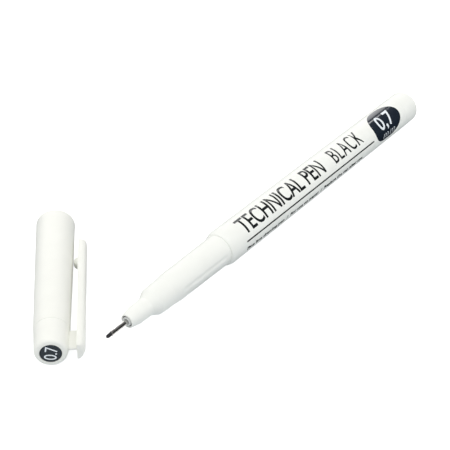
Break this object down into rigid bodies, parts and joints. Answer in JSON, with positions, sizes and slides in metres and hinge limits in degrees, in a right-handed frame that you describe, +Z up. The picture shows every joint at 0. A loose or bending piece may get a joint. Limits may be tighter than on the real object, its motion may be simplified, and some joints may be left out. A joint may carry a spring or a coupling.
{
  "type": "technical pen",
  "caption": "Slim white technical pen with a steel-sleeved fibre nib, lying with its clip-on cap off beside it; the clip flexes open.",
  "frame": {"origin": "middle of the footprint of the pen and its cap, on the table that they lie on", "axes": "+Z up from the table; +Y along the cap from its closed end to its mouth; +X from the cap towards its clip and the pen"},
  "size_m": [0.1104, 0.1072, 0.01],
  "materials": {
    "white_shell": "smooth satin-gloss injection moulding",
    "white_inner": "plain moulded",
    "dark_collar": "plain moulded",
    "nib_steel": "drawn tube, ink-stained",
    "inked_fibre": "pressed fibre soaked in black ink",
    "clear_film": "thin wrapped film",
    "navy_badge": "smooth printed disc"
  },
  "bodies": {
    "pen": {"barrel": "white_shell", "front_section": "white_shell", "end_plug": "white_shell", "nib_holder": "white_inner", "nib_collar": "dark_collar", "nib_sleeve": "nib_steel", "fibre_nib": "inked_fibre", "feed_wick": "inked_fibre", "ink_reservoir": "inked_fibre", "reservoir_film": "clear_film"},
    "cap": {"cap_tube": "white_shell", "cap_crown": "white_shell", "crown_badge": "navy_badge", "inner_seal": "white_inner"},
    "clip": {"clip_arm": "white_shell"}
  },
  "joints": [
    {"name": "cap_swing", "type": "hinge", "parent": "pen", "child": "cap", "pos_m": [-0.12783, -0.03432, 0.00487], "axis": [0, 0, -1], "range_deg": [0, 41.7]},
    {"name": "clip_flex", "type": "hinge", "parent": "cap", "child": "clip", "pos_m": [-0.04329, -0.04588, 0.00433], "axis": [0, 0.0158, -0.9999], "range_deg": [0, 4], "stiffness_Nm_per_rad": 1}
  ]
}
